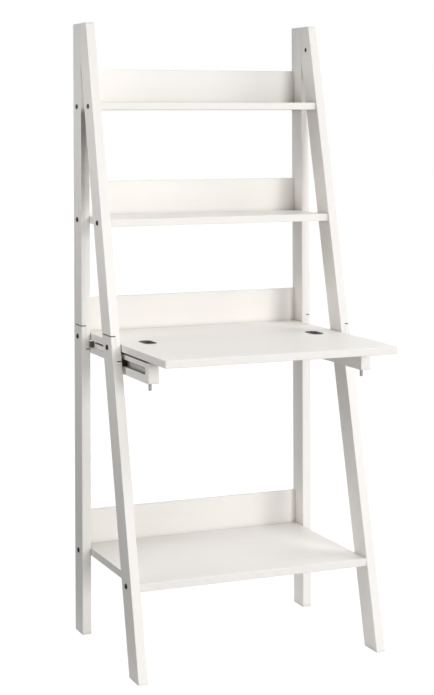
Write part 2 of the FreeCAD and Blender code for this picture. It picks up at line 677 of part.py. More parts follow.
def make_glide_block(side):
    body, width = make_block(f"{side}_glide_block", side, (RUNNER_INNER, INNER_FACE),
                             (GLIDE_FRONT, RUNNER_FRONT), (GLIDE_BOTTOM, RUNNER_TOP))
    extent = body_extent(body)
    round_edges(body, "Sizes.glide_rounding", lambda edge: lies_at(edge, "Y", extent.YMin))
    centre = [(f"({width} / 2)", GROOVE_MIDDLE)]
    drill(body, "XZ_Plane", f"-{GLIDE_FRONT}", centre, SCREW_HOLE, "Sizes.glide_length")
    drill(body, "XZ_Plane", f"-{GLIDE_FRONT}", centre, SCREW_HEAD_HOLE, SCREW_SEAT)


def make_stop_block(side):
    span_x = (RAIL_OUTER, f"({INNER_FACE} + Sizes.stop_overlap)")
    body, width = make_block(f"{side}_stop_block", side, span_x,
                             (f"({STOP_BACK} - Sizes.stop_length)", STOP_BACK),
                             (STOP_BOTTOM, f"({STOP_BOTTOM} + Sizes.stop_height)"))
    extent = body_extent(body)
    outer = extent.XMin if side == "left" else extent.XMax
    round_edges(body, "Sizes.stop_rounding", lambda edge: lies_at(edge, "X", outer))
    centre = [(STOP_MIDDLE_Y, STOP_MIDDLE_Z)]
    drill_block(body, side, width, centre, SCREW_HOLE, width, "outer")
    drill_block(body, side, width, centre, SCREW_HEAD_HOLE, SCREW_SEAT, "outer")


def make_rail_pin(side):
    """Round pin driven up into the rail behind its front end."""
    x = f"-{RAIL_CENTRE}" if side == "left" else RAIL_CENTRE
    body = new_body(f"{side}_rail_pin", x=x, y=PIN_Y, z=f"({RAIL_BOTTOM} - Sizes.pin_drop)")
    sketch = new_sketch(body, "XY_Plane")
    draw_circles(sketch, [("0", "0")], "Sizes.pin_diameter")
    pad(body, sketch, "(Sizes.pin_drop + Sizes.pin_grip)")
    round_edges(body, "Sizes.pin_rounding", lambda edge: lies_at(edge, "Z", 0))


def make_grommet(side):
    """Sleeve with a flange that lies on the desktop round its cable hole."""
    x = f"-{GROMMET_X}" if side == "left" else GROMMET_X
    body = new_body(f"{side}_cable_grommet", x=x, y="(-Sizes.grommet_reach)", z="Sizes.desk_height")
    shells = (("0", "0", "Sizes.grommet_flange_height"),
              ("Sizes.grommet_flange", "-Sizes.board_thickness", "Sizes.board_thickness"))
    for inset, bottom, height in shells:
        sketch = new_sketch(body, "XY_Plane", ("0", "0", bottom))
        draw_rectangle(sketch, *grommet_rectangle("0", "0", inset))
        pad(body, sketch, height)
    passage_inset = "(Sizes.grommet_flange + Sizes.grommet_wall)"
    sketch = new_sketch(body, "XY_Plane", ("0", "0", "-Sizes.board_thickness"))
    draw_rectangle(sketch, *grommet_rectangle("0", "0", passage_inset))
    pocket(body, sketch, "(Sizes.board_thickness + Sizes.grommet_flange_height)", along_normal=True)
    half_width = size_of("grommet_width") / 2
    sleeve = half_width - size_of("grommet_flange")
    for wall, inset in ((sleeve - size_of("grommet_wall"), passage_inset),
                        (sleeve, "Sizes.grommet_flange"), (half_width, "0")):
        round_edges(body, f"(Sizes.grommet_rounding - {inset})",
                    lambda edge: runs_along(edge, ALONG_Z)
                    and (lies_at(edge, "X", wall) or lies_at(edge, "X", -wall)))
    top = size_of("grommet_flange_height")
    round_edges(body, "Sizes.grommet_rim_rounding", lambda edge: lies_at(edge, "Z", top))


# --- fasteners --------------------------------------------------------------------------------

def make_turned(label, profile, direction="X", shift=("0", "0", "0"), y="0", z="0"):
    """Body of revolution whose axis runs along X, Y or Z; the profile is (along, radius) corners."""
    body = new_body(label, y=y, z=z)
    sketch = new_sketch(body, "XZ_Plane" if direction == "Z" else "XY_Plane", shift)
    if direction != "X":
        profile = [(radius, along) for along, radius in profile]
    draw_outline(sketch, profile)
    return body, revolve(body, sketch, "H_Axis" if direction == "X" else "V_Axis")


def headed_profile(kind, length, start="0", sign="+"):
    """Half section of a bolt or screw from the outside of its head to its tip."""
    head_radius = f"(Sizes.{kind}_head_diameter / 2)"
    radius = f"(Sizes.{kind}_diameter / 2)"
    chamfer = f"Sizes.{kind}_head_chamfer"
    under_head = f"({start} {sign} Sizes.{kind}_head_height)"
    tip = f"({start} {sign} {length})"
    return [
        (start, "0"),
        (start, f"({head_radius} - {chamfer})"),
        (f"({start} {sign} {chamfer})", head_radius),
        (under_head, head_radius),
        (under_head, radius),
        (tip, radius),
        (tip, "0"),
    ]


def leg_spacing(height):
    """Distance between a post's and a leg's middle lines at a height."""
    return f"({POST_CENTRE} - {leg_centre(height)})"


def make_bolts(label, height, reach):
    """Socket bolts through post and leg, on both sides, that reach in from the outer faces."""
    face = f"(-{HALF_WIDTH} - Sizes.bolt_head_height)"
    profile = headed_profile("bolt", f"(Sizes.bolt_head_height + {reach})", face)
    body, bolt = make_turned(label, profile, y=POST_CENTRE, z=height)
    sketch = new_sketch(body, "YZ_Plane", ("0", "0", face))
    corner = "(Sizes.bolt_socket / sqrt(3))"
    draw_outline(sketch, [(f"({corner} * cos({60 * i} deg))", f"({corner} * sin({60 * i} deg))")
                          for i in range(6)])
    socket = pocket(body, sketch, "Sizes.bolt_socket_depth", along_normal=True)
    repeat(body, [bolt, socket], "Y_Axis", leg_spacing(height))
    mirror(body)


def make_inserts(label, height, mouth, length):
    """Threaded sleeves in line with the bolts, with their mouths at a depth from the outer faces."""
    start = f"(-{HALF_WIDTH} + {mouth})"
    end = f"({start} + {length})"
    bore = "(Sizes.bolt_diameter / 2 + Sizes.insert_bore_clearance)"
    body, sleeve = make_turned(label, [
        (start, bore), (start, "(Sizes.insert_diameter / 2)"),
        (end, "(Sizes.insert_diameter / 2)"), (end, bore)], y=POST_CENTRE, z=height)
    repeat(body, [sleeve], "Y_Axis", leg_spacing(height))
    mirror(body)


def make_backboard_dowels(name, board_top):
    """Two dowels in each end of a backboard, sunk into the posts."""
    body = new_body(f"{name}_backboard_dowels", y="(-Sizes.backboard_thickness / 2)",
                    z=f"({board_top} - Sizes.board_thickness + Sizes.dowel_margin)")
    gap = "Sizes.dowel_end_gap"
    sketch = new_sketch(body, "YZ_Plane", ("0", "0", f"(-{INNER_FACE} - Sizes.dowel_post_depth + {gap})"))
    draw_circles(sketch, [("0", "0")], "Sizes.dowel_diameter")
    dowel = pad(body, sketch, f"(Sizes.dowel_post_depth + Sizes.dowel_board_depth - 2 * {gap})")
    spacing = "(Sizes.board_thickness + Sizes.backboard_rise - 2 * Sizes.dowel_margin)"
    repeat(body, [dowel], "Z_Axis", spacing)
    mirror(body)


def make_cams():
    """Cam discs let into the legs' inner faces, with a cross slot and a cavity for the dowel's head."""
    body, disc = make_turned("apex_cams", [
        (f"-{INNER_FACE}", "0"), (f"-{INNER_FACE}", "(Sizes.cam_diameter / 2)"),
        (f"(-{INNER_FACE} - Sizes.cam_length)", "(Sizes.cam_diameter / 2)"),
        (f"(-{INNER_FACE} - Sizes.cam_length)", "0")], y=CAM_CENTRE, z=CAM_HEIGHT)
    half_width = "(Sizes.cam_slot_width / 2)"
    half_length = "(Sizes.cam_slot_length / 2)"
    for across, along in ((half_width, half_length), (half_length, half_width)):
        sketch = new_sketch(body, "YZ_Plane", ("0", "0", f"-{INNER_FACE}"))
        draw_rectangle(sketch, (f"-{across}", f"-{along}"), (across, along))
        pocket(body, sketch, "Sizes.cam_slot_depth")
    half_cavity = "(Sizes.cam_dowel_head / 2 + Sizes.hole_clearance)"
    sketch = new_sketch(body, "XZ_Plane", ("0", "0", "(-Sizes.cam_diameter / 2)"))
    middle = f"(-{INNER_FACE} - Sizes.cam_dowel_inset)"
    draw_rectangle(sketch, (f"({middle} - {half_cavity})", f"-{half_cavity}"),
                   (f"({middle} + {half_cavity})", half_cavity))
    pocket(body, sketch, "(Sizes.cam_diameter / 2 + Sizes.cam_cavity_margin)", along_normal=True)
    mirror(body)


def make_cam_dowels():
    """Steel dowels screwed into the posts, their heads held in the cams."""
    body = new_body("apex_cam_dowels", y="(-Sizes.post_depth)", z=CAM_HEIGHT)
    sketch = new_sketch(body, "XZ_Plane", (f"(-{INNER_FACE} - Sizes.cam_dowel_inset)", "0",
                                           "-Sizes.cam_dowel_grip"))
    draw_circles(sketch, [("0", "0")], "Sizes.cam_dowel_diameter")
    shank_reach = "(Sizes.cam_reach - Sizes.cam_diameter / 2 - Sizes.hole_clearance)"
    pad(body, sketch, f"(Sizes.cam_dowel_grip + {shank_reach})")
    sketch = new_sketch(body, "XZ_Plane", (f"(-{INNER_FACE} - Sizes.cam_dowel_inset)", "0", "0"))
    draw_circles(sketch, [("0", "0")], "Sizes.cam_dowel_head")
    pad(body, sketch, "(Sizes.cam_reach - Sizes.hole_clearance)")
    mirror(body)


def make_runner_screws():
    """Screws from inside each runner into its post and leg."""
    profile = headed_profile("screw", "Sizes.runner_screw_length", f"(-{RUNNER_INNER})", "-")
    body, screw = make_turned("runner_screws", profile, y=POST_CENTRE, z=GROOVE_MIDDLE)
    repeat(body, [screw], "Y_Axis", f"({POST_CENTRE} - {RUNNER_LEG_SCREW})")
    mirror(body)


def make_glide_screws():
    """Screws from the front through each glide block into its runner's end."""
    profile = headed_profile("screw", "Sizes.glide_screw_length")
    x = f"(-({INNER_FACE} + {RUNNER_INNER}) / 2)"
    body, _ = make_turned("glide_screws", profile, "Y", (x, "0", "0"), y=GLIDE_FRONT, z=GROOVE_MIDDLE)
    mirror(body)


def make_rail_screws():
    """Screws from below through each rail's web into the desktop."""
    profile = headed_profile("screw", "Sizes.rail_screw_length")
    body, screw = make_turned("rail_screws", profile, "Z", (f"-{WEB_CENTRE}", "0", "0"),
                              y="(-Sizes.rail_screw_first)", z=RAIL_SCREW_HEAD)
    repeat(body, [screw], "Y_Axis", "Sizes.rail_screw_spacing", 3)
    mirror(body)


def make_stop_screws():
    """Screws through the stop blocks into the rails' upper lips."""
    profile = headed_profile("screw", "Sizes.stop_screw_length", f"(-{INNER_FACE} - Sizes.stop_overlap)")
    body, _ = make_turned("stop_screws", profile, y=STOP_MIDDLE_Y, z=STOP_MIDDLE_Z)
    mirror(body)


# --- assembly ---------------------------------------------------------------------------------

for frame_side in ("left", "right"):
    make_lower_post(frame_side)
    make_upper_post(frame_side)
    make_lower_leg(frame_side)
    make_upper_leg(frame_side)
    make_slide_rail(frame_side)
    make_runner(frame_side)
    make_glide_block(frame_side)
    make_stop_block(frame_side)
    make_rail_pin(frame_side)
    make_grommet(frame_side)

make_desktop()
make_backboard("desk", "Sizes.desk_height")
make_backboard_dowels("desk", "Sizes.desk_height")

for shelf_name, shelf_top, shelf_setback in SHELVES:
    make_shelf(shelf_name, shelf_top, shelf_setback)
    make_backboard(shelf_name, shelf_top)
    make_backboard_dowels(shelf_name, shelf_top)
    make_bolts(f"{shelf_name}_shelf_bolts", board_middle(shelf_top),
               "(Sizes.frame_thickness + Sizes.bolt_grip)")
    make_inserts(f"{shelf_name}_shelf_inserts", board_middle(shelf_top), "Sizes.frame_thickness",
                 "Sizes.insert_length")

make_bolts("lap_bolts", DESK_MIDDLE, f"({HALF_THICKNESS} + Sizes.lap_bolt_grip)")
make_inserts("lap_inserts", DESK_MIDDLE, HALF_THICKNESS, "Sizes.lap_insert_length")
make_cams()
make_cam_dowels()
make_runner_screws()
make_glide_screws()
make_rail_screws()
make_stop_screws()
document.recompute()

for item in document.Objects:
    if "Invalid" in item.State or "Error" in item.State:
        raise RuntimeError(f"{item.Label} didn't build: {item.State}")

os.makedirs("parts", exist_ok=True)
for body in document.findObjects("PartDesign::Body"):
    if body.Shape.isNull() or not body.Shape.isValid() or not body.Shape.Solids:
        raise RuntimeError(f"{body.Label} has no valid solid")
    body.Shape.exportStep(f"parts/{body.Label}.step")
    box = body.Shape.BoundBox
    print(f"{body.Label}: {len(body.Shape.Solids)} solid(s), {body.Shape.Volume / 1000:.1f} cm3, "
          f"X {box.XMin:.1f}..{box.XMax:.1f} Y {box.YMin:.1f}..{box.YMax:.1f} "
          f"Z {box.ZMin:.1f}..{box.ZMax:.1f}")
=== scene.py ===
import math

import bmesh
import bpy
from mathutils import Matrix, Vector


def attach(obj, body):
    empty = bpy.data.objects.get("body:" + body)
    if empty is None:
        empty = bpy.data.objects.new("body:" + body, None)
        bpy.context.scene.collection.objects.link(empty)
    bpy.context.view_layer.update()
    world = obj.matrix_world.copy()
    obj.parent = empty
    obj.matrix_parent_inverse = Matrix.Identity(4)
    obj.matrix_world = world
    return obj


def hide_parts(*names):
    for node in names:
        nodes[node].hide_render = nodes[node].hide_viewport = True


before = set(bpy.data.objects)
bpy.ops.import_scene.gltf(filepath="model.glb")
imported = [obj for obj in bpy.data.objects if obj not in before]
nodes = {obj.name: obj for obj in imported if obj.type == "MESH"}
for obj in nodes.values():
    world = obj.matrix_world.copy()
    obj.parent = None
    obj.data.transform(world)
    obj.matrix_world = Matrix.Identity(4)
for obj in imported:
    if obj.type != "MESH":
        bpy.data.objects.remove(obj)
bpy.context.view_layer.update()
print("loaded", len(nodes), "pieces")


class Value:
    # a number that runs along a link, so that sums read as sums
    middle = 0.5                           # what a noise swings around

    def __init__(self, shader, socket):
        self.shader = shader
        self.socket = socket

    def maths(self, operation, first, second):
        made = self.shader.add("ShaderNodeMath", {"operation": operation}, {0: first, 1: second})
        return made.out(0)

    def __add__(self, other):
        return self.maths("ADD", self, other)

    def __radd__(self, other):
        return self.maths("ADD", other, self)

    def __sub__(self, other):
        return self.maths("SUBTRACT", self, other)

    def __rsub__(self, other):
        return self.maths("SUBTRACT", other, self)

    def __mul__(self, other):
        return self.maths("MULTIPLY", self, other)

    def __rmul__(self, other):
        return self.maths("MULTIPLY", other, self)

    def __pow__(self, other):
        return self.maths("POWER", self, other)

    def __rpow__(self, other):
        return self.maths("POWER", other, self)

    def atLeast(self, least):
        return self.maths("MAXIMUM", self, least)

    def swing(self, amount):
        return (self - self.middle) * amount


class Made:
    # a node just added, with its outputs by name or number
    def __init__(self, shader, node):
        self.shader = shader
        self.node = node

    def out(self, key):
        return Value(self.shader, self.node.outputs[key])


class Shader:
    # builds the node tree of a material or a world
    skyRays = 16                           # rays that feel for corners around a point
    bevelRays = 4
    rounded = (0.995, 0.8)                 # normal's match with its rounded one: flat, sharp
    squareOn = (0.8, 0.9)                  # a normal's squared share along an axis: aslant, square

    def __init__(self, owner):
        self.owner = owner
        owner.use_nodes = True
        self.tree = owner.node_tree
        self.tree.nodes.clear()

    def feed(self, socket, value):
        if isinstance(value, Value):
            self.tree.links.new(value.socket, socket)
        else:
            socket.default_value = value

    def add(self, kind, settings=None, sockets=None):
        node = self.tree.nodes.new(kind)
        for name, value in (settings or {}).items():
            setattr(node, name, value)
        for key, value in (sockets or {}).items():
            self.feed(node.inputs[key], value)
        return Made(self, node)

    def noise(self, pattern, turn=(0, 0, 0), shift=(0, 0, 0)):
        # a pattern is its cells in a metre along each turned axis, its detail and its roughness
        cells, detail, roughness = pattern
        where = self.add("ShaderNodeTexCoord").out("Object")
        turned = self.add("ShaderNodeMapping", {"vector_type": "POINT"},
                          {"Vector": where, "Rotation": turn, "Location": shift})
        stretched = self.add("ShaderNodeMapping", {"vector_type": "POINT"},
                             {"Vector": turned.out(0), "Scale": cells})
        sockets = {"Vector": stretched.out(0), "Scale": 1, "Detail": detail,
                   "Roughness": roughness}
        return self.add("ShaderNodeTexNoise", None, sockets).out("Fac")

    def between(self, value, low, high):
        # 0 at low and 1 at high, held outside them
        sockets = {"Value": value, "From Min": low, "From Max": high}
        return self.add("ShaderNodeMapRange", {"clamp": True}, sockets).out("Result")

    def within(self, value, low, high, fade=0.0005):
        # 1 from low to high, with ends that fade over some metres
        return self.between(value, low, low + fade) - self.between(value, high - fade, high)

    def blend(self, factor, first, second):
        settings = {"data_type": "RGBA", "blend_type": "MIX"}
        return self.add("ShaderNodeMix", settings, {0: factor, 6: first, 7: second}).out(2)

    def bump(self, height, distance, below=None):
        sockets = {"Height": height, "Distance": distance, "Strength": 1}
        if below is not None:
            sockets["Normal"] = below
        return self.add("ShaderNodeBump", None, sockets).out(0)

    def crevice(self, reach, clear, closed):
        # 1 deep in corners and slots, 0 on open faces
        sky = self.add("ShaderNodeAmbientOcclusion", {"samples": self.skyRays},
                       {"Distance": reach})
        return self.between(sky.out("AO"), clear, closed)

    def match(self, first, second):
        # how well two directions agree
        made = self.add("ShaderNodeVectorMath", {"operation": "DOT_PRODUCT"}, {0: first, 1: second})
        return made.out("Value")

    def edges(self, radius):
        # 1 on corners sharper than the radius, 0 on flats
        soft = self.add("ShaderNodeBevel", {"samples": self.bevelRays}, {"Radius": radius}).out(0)
        hard = self.add("ShaderNodeNewGeometry").out("Normal")
        return self.between(self.match(soft, hard), *self.rounded)

    def along(self, axis, node="ShaderNodeTexCoord", key="Object"):
        # one axis of a vector, which is the place in metres unless another is named
        return self.add("ShaderNodeSeparateXYZ", None, {0: self.add(node).out(key)}).out(axis)

    def facing(self, axis):
        # 1 on faces that look either way along the axis
        slope = self.along(axis, "ShaderNodeNewGeometry", "Normal")
        return self.between(slope * slope, *self.squareOn)

    def fromMiddle(self):
        # metres to the left or right of the desk's middle
        across = self.along(0)
        return (across * across) ** 0.5

    def finish(self, sockets):
        surface = self.add("ShaderNodeBsdfPrincipled", None, sockets)
        self.add("ShaderNodeOutputMaterial", None, {"Surface": surface.out(0)})
        return self.owner


# the half-laps of posts and legs: bare wood on the faces inside, made very dark as painted shade,
# and thin painted shadow lines where they meet
lap = {
    "low": 0.7104, "high": 0.7700,         # metres above the floor
    "middle": 0.3035,                      # metres from the desk's middle
    "bare": (0.700, 0.780),                # heights between which bare faces lie
    "bareReach": 0.002,                    # to each side of the middle plane
    "gap": 0.0016,
    "rim": 0.0006,
    "rimFade": 0.0002,
    "rimStrength": 0.85,
    "seam": 0.0012,
    "seamStrength": 0.55,
    # unpainted wood, darkened as painted shade inside the joints
    "wood": (0.10, 0.075, 0.055, 1),
    "roughness": 0.8,
}


def shadedBareFaces(s):
    # 1 on a lap's shoulders, which look up or down, and on its upright middle plane: bare wood
    # painted dark as the shade inside the joint
    middle, reach = lap["middle"], lap["bareReach"]
    plane = s.within(s.fromMiddle(), middle - reach, middle + reach) * s.facing(0)
    return (plane + s.facing(2)) * s.within(s.along(2), *lap["bare"])


def seamShadowLine(s):
    # 1 along the upright seam on the faces that look forwards or back: a painted shadow line
    middle, half = lap["middle"], lap["seam"] / 2
    line = s.within(s.fromMiddle(), middle - half, middle + half, half / 2)
    return line * s.facing(1) * s.within(s.along(2), lap["low"], lap["high"])


def gapShadowRims(s):
    # 1 beside the level gaps, the low one in the inner half, the high one in the outer half:
    # painted shadow lines
    low, high, gap, rim, fade = (lap[key] for key in ("low", "high", "gap", "rim", "rimFade"))
    outer = s.between(s.fromMiddle(), lap["middle"] - fade, lap["middle"] + fade)
    atLow = s.within(s.along(2), low - rim, low + gap + rim, fade)
    atHigh = s.within(s.along(2), high - gap - rim, high + rim, fade)
    return atHigh * outer + atLow * (1 - outer)


# painted shade: where little light reaches, the paint's colour is pulled towards a dark grey
paintedShade = {
    # reach in metres, open share of the sky where it starts and where it is full, strength
    # painted shade in the corners of every painted piece
    "usual": (0.012, 0.95, 0.35, 0.25),
    # painted shade on the walls of the rails' grooves
    "inGroove": (0.022, 0.95, 0.45, 0.95),
    # painted shade on the left post's front face, behind its leg
    "behindLeg": (0.100, 0.98, 0.85, 0.84),
    "groove": (0.262, 0.2842),             # metres from the desk's middle
    "outerSkin": 0.0004,                   # metres under the rail's outer face
    # heights of a painted shadow line on the rail's outer face, under the desktop's edge
    "slit": (0.7254, 0.7275),              # metres above the floor, under the rebate
    "slitFade": 0.0003,
    "slitStrength": 0.85,
    # heights where the painted shade behind the leg starts and ends
    "legCloses": (1.02, 1.12),             # metres above the floor
    "legTouches": (1.315, 1.300),
    # the colour of the painted shade
    "colour": (0.20, 0.19, 0.175, 1),
}


# painted shade that grows as a place is hidden from the sky
def occlusionShade(s, place):
    reach, clear, closed, strength = paintedShade[place]
    return s.crevice(reach, clear, closed) * strength


def shadeToPaint(s, node):
    # painted shade: how much darker the paint is made in corners, in the rails' grooves, in a line
    # under the desktop's edge and on a post close behind its leg
    if node.endswith(("slide_rail", "runner")):
        inner, outer = paintedShade["groove"]
        # a painted shadow line on the rail's outer face, under the desktop's edge
        slit = s.within(s.along(2), *paintedShade["slit"], paintedShade["slitFade"]) * paintedShade["slitStrength"]
        slit = slit * s.facing(0) * s.between(s.fromMiddle(), outer - paintedShade["outerSkin"], outer)
        # painted shade inside the grooves
        return occlusionShade(s, "inGroove") * s.within(s.fromMiddle(), inner, outer) + slit
    if node == "left_rear_post_upper":
        # painted shade on the post's front face where the leg stands close in front of it
        shaded = s.between(s.along(2), *paintedShade["legCloses"])
        shaded = shaded * s.between(s.along(2), *paintedShade["legTouches"]) * s.facing(1)
        return occlusionShade(s, "behindLeg") * shaded + occlusionShade(s, "usual") * (1 - shaded)
    return occlusionShade(s, "usual")


whitePaint = {
    "colour": (0.914, 0.886, 0.850),
    "shade": (0.827, 0.797, 0.750),        # thin places and grain lines
    "roughness": 0.42,
    "shine": 0.45,
    # noises: cells in a metre along and across the grain, detail, roughness
    "broad": ((2.2, 34, 34), 3, 0.55),
    "fine": ((7, 260, 260), 2, 0.6),
    "clouds": ((5.5, 5.5, 5.5), 3, 0.55),
    "stipple": ((520, 520, 520), 2, 0.6),
    "wear": ((38, 38, 38), 3, 0.6),
    "shift": (1.37, 0.71, 0.43),           # how far the noises move from piece to piece
    # levels of the noises where each mark starts and where it is full
    "lines": (0.38, 0.68),
    "cloudy": (0.35, 0.70),
    "rubbed": (0.35, 0.65),
    "rubRadius": 0.0022,                   # metres
    # how far each mark goes towards the shade
    "grain": 0.16,
    "broadShare": 0.55,                    # of the grain lines, the rest is fine
    "mottle": 0.10,
    "edge": 0.22,
    # how far each mark moves the roughness
    "cloudRough": 0.10,
    "stippleRough": 0.08,
    "rubRough": 0.08,
    # depths in metres
    "grainDepth": 0.00012,
    "broadDepth": 0.5,                     # as a share of the grain's
    "stippleDepth": 0.00004,
}


def toned(colour, tone):
    return [share * (1 - tone) for share in colour] + [1]


def paintWood(node, turn, seed, tone, grain):
    # satin paint over wood whose grain runs along the turned X axis
    look = whitePaint
    s = Shader(bpy.data.materials.new("paint_" + node))
    shift = [seed * step for step in look["shift"]]
    broad, fine, clouds, stipple, wear = (
        s.noise(look[name], turn, shift)
        for name in ("broad", "fine", "clouds", "stipple", "wear"))
    rubbed = s.edges(look["rubRadius"]) * s.between(wear, *look["rubbed"])
    lines = broad * look["broadShare"] + fine * (1 - look["broadShare"])
    amount = s.between(lines, *look["lines"]) * (look["grain"] * grain)
    amount = amount + s.between(clouds, *look["cloudy"]) * look["mottle"] + rubbed * look["edge"]
    colour = s.blend(amount, toned(look["colour"], tone), toned(look["shade"], tone))
    # painted shade in corners, grooves, under the desktop's edge and behind the left leg
    colour = s.blend(shadeToPaint(s, node), colour, paintedShade["colour"])
    rough = look["roughness"] + clouds.swing(look["cloudRough"])
    rough = rough + stipple.swing(look["stippleRough"]) - rubbed * look["rubRough"]
    if "_leg_" in node or "_post_" in node:
        # painted shadow lines at the laps' seams and gaps, and bare wood painted dark as shade
        # inside them
        colour = s.blend(seamShadowLine(s) * lap["seamStrength"], colour, lap["wood"])
        colour = s.blend(gapShadowRims(s) * lap["rimStrength"], colour, lap["wood"])
        bare = shadedBareFaces(s)
        colour = s.blend(bare, colour, lap["wood"])
        rough = rough + bare * (lap["roughness"] - look["roughness"])
    relief = s.bump(broad * look["broadDepth"] + fine, look["grainDepth"] * grain)
    relief = s.bump(stipple, look["stippleDepth"], relief)
    return s.finish({"Base Color": colour, "Roughness": rough, "Normal": relief,
                     "Specular IOR Level": look["shine"]})


leg = {"run": 0.370, "rise": 1.524}        # how far the front legs lean back over their height
leanAngle = math.atan2(leg["run"], leg["rise"])
alongZ = (0, math.pi / 2, 0)
alongX = (0, 0, 0)
alongY = (0, 0, math.pi / 2)
alongLeg = (-leanAngle, math.pi / 2, 0)

woodPieces = {
    # grain's direction and strength, for the left and for the right
    "rear_post_lower": (alongZ, 1.0),
    "rear_post_upper": (alongZ, 1.0),
    "front_leg_lower": (alongLeg, 1.0),
    "front_leg_upper": (alongLeg, 1.0),
    "slide_rail": (alongY, 1.2),
    "runner": (alongY, 1.3),
}
boards = {
    "names": ("top_shelf", "middle_shelf", "bottom_shelf", "desktop", "top_backboard",
              "middle_backboard", "desk_backboard", "bottom_backboard"),
    "turn": alongX,
    "grain": 0.8,
}
shadeTones = {
    # how much darker than the paint's colour a piece is: painted shade set piece by piece for how
    # light falls on it, and painted light where it is below zero
    "usual": 0.03,
    "left_front_leg_upper": 0.0,
    "right_front_leg_upper": 0.05,
    "left_slide_rail": -0.04,
    "right_slide_rail": -0.04,
    "desktop": 0.01,
    "top_backboard": 0.04,
    "middle_backboard": 0.025,
    "desk_backboard": 0.01,
    "bottom_backboard": 0.06,
}


def dress(node, material):
    target = nodes[node]
    target.data.materials.clear()
    target.data.materials.append(material)


painted = [(side + "_" + part, turn, grain)
           for side in ("left", "right") for part, (turn, grain) in woodPieces.items()]
painted += [(node, boards["turn"], boards["grain"]) for node in boards["names"]]
for seed, (node, turn, grain) in enumerate(painted, 1):
    dress(node, paintWood(node, turn, seed, shadeTones.get(node, shadeTones["usual"]), grain))
print("painted", len(painted), "pieces")


blackSteel = {
    "colour": (0.022, 0.021, 0.020, 1),
    "worn": (0.11, 0.105, 0.10, 1),
    "roughness": 0.38,
    "metal": 0.6,
    "coat": 0.2,
    "specks": ((900, 900, 900), 3, 0.6),
    "speckled": (0.55, 0.8),
    "speckShare": 0.12,
    "speckRough": 0.2,
    "wear": ((260, 260, 260), 3, 0.6),
    "rubbed": (0.42, 0.62),
    "rubRadius": 0.0006,
    "rubShare": 0.8,
    "rubRough": 0.1,
    "depth": 0.00003,
}


def coatedSteel():
    look = blackSteel
    s = Shader(bpy.data.materials.new("blackSteel"))
    specks = s.noise(look["specks"])
    worn = s.edges(look["rubRadius"]) * s.between(s.noise(look["wear"]), *look["rubbed"])
    share = worn * look["rubShare"] + s.between(specks, *look["speckled"]) * look["speckShare"]
    rough = look["roughness"] + specks.swing(look["speckRough"]) - worn * look["rubRough"]
    return s.finish({"Base Color": s.blend(share, look["colour"], look["worn"]),
                     "Roughness": rough, "Metallic": look["metal"], "Coat Weight": look["coat"],
                     "Normal": s.bump(specks, look["depth"])})


nylon = {"colour": (0.010, 0.010, 0.011, 1), "scuff": (0.040, 0.038, 0.037, 1), "roughness": 0.55}
rubber = {"colour": (0.085, 0.083, 0.080, 1), "scuff": (0.140, 0.136, 0.131, 1),
          "roughness": 0.66}
moulding = {
    "grit": ((1400, 1400, 1400), 2, 0.5),
    "gritRough": 0.16,
    "scrapes": ((700, 18, 700), 3, 0.6),
    "scuffed": (0.56, 0.74),
    "scuffShare": 0.7,
    "scuffRough": 0.14,
    "scuffDepth": 0.6,                     # as a share of the grit's
    "depth": 0.00004,
}


def moulded(name, look):
    s = Shader(bpy.data.materials.new(name))
    grit = s.noise(moulding["grit"])
    scuffed = s.between(s.noise(moulding["scrapes"]), *moulding["scuffed"])
    colour = s.blend(scuffed * moulding["scuffShare"], look["colour"], look["scuff"])
    rough = look["roughness"] + grit.swing(moulding["gritRough"]) - scuffed * moulding["scuffRough"]
    relief = s.bump(grit + scuffed * moulding["scuffDepth"], moulding["depth"])
    return s.finish({"Base Color": colour, "Roughness": rough, "Normal": relief})


liner = {
    "colour": (0.095, 0.091, 0.087, 1),
    "dust": (0.180, 0.174, 0.168, 1),
    "roughness": 0.55,
    "grit": ((1100, 1100, 1100), 3, 0.6),
    "gritRough": 0.2,
    "film": ((90, 90, 90), 4, 0.6),
    "dusty": (0.45, 0.75),
    "dustShare": 0.45,
    "depth": 0.00004,
}


def linerPlastic():
    s = Shader(bpy.data.materials.new("linerPlastic"))
    grit = s.noise(liner["grit"])
    dusty = s.between(s.noise(liner["film"]), *liner["dusty"])
    colour = s.blend(dusty * liner["dustShare"], liner["colour"], liner["dust"])
    rough = liner["roughness"] + grit.swing(liner["gritRough"])
    return s.finish({"Base Color": colour, "Roughness": rough,
                     "Normal": s.bump(grit, liner["depth"])})


zinc = {
    "colour": (0.62, 0.62, 0.61, 1),
    "dull": (0.42, 0.42, 0.41, 1),
    "roughness": 0.34,
    "patches": ((240, 240, 240), 4, 0.6),
    "patched": (0.4, 0.7),
    "patchRough": 0.3,
    "rings": ((2600, 300, 300), 2, 0.6),
    "depth": 0.00003,
}


def platedSteel():
    s = Shader(bpy.data.materials.new("zincPlate"))
    patches = s.noise(zinc["patches"])
    colour = s.blend(s.between(patches, *zinc["patched"]), zinc["colour"], zinc["dull"])
    rough = zinc["roughness"] + patches.swing(zinc["patchRough"])
    return s.finish({"Base Color": colour, "Roughness": rough, "Metallic": 1,
                     "Normal": s.bump(s.noise(zinc["rings"]), zinc["depth"])})


turned = {
    "colour": (0.42, 0.41, 0.39, 1),
    "dull": (0.30, 0.295, 0.28, 1),
    "roughness": 0.5,
    "metal": 0.35,
    "stains": ((180, 180, 180), 3, 0.6),
    "stained": (0.4, 0.7),
    "rings": ((90, 90, 2400), 2, 0.6),
    "ringRough": 0.25,
    "depth": 0.00004,
}


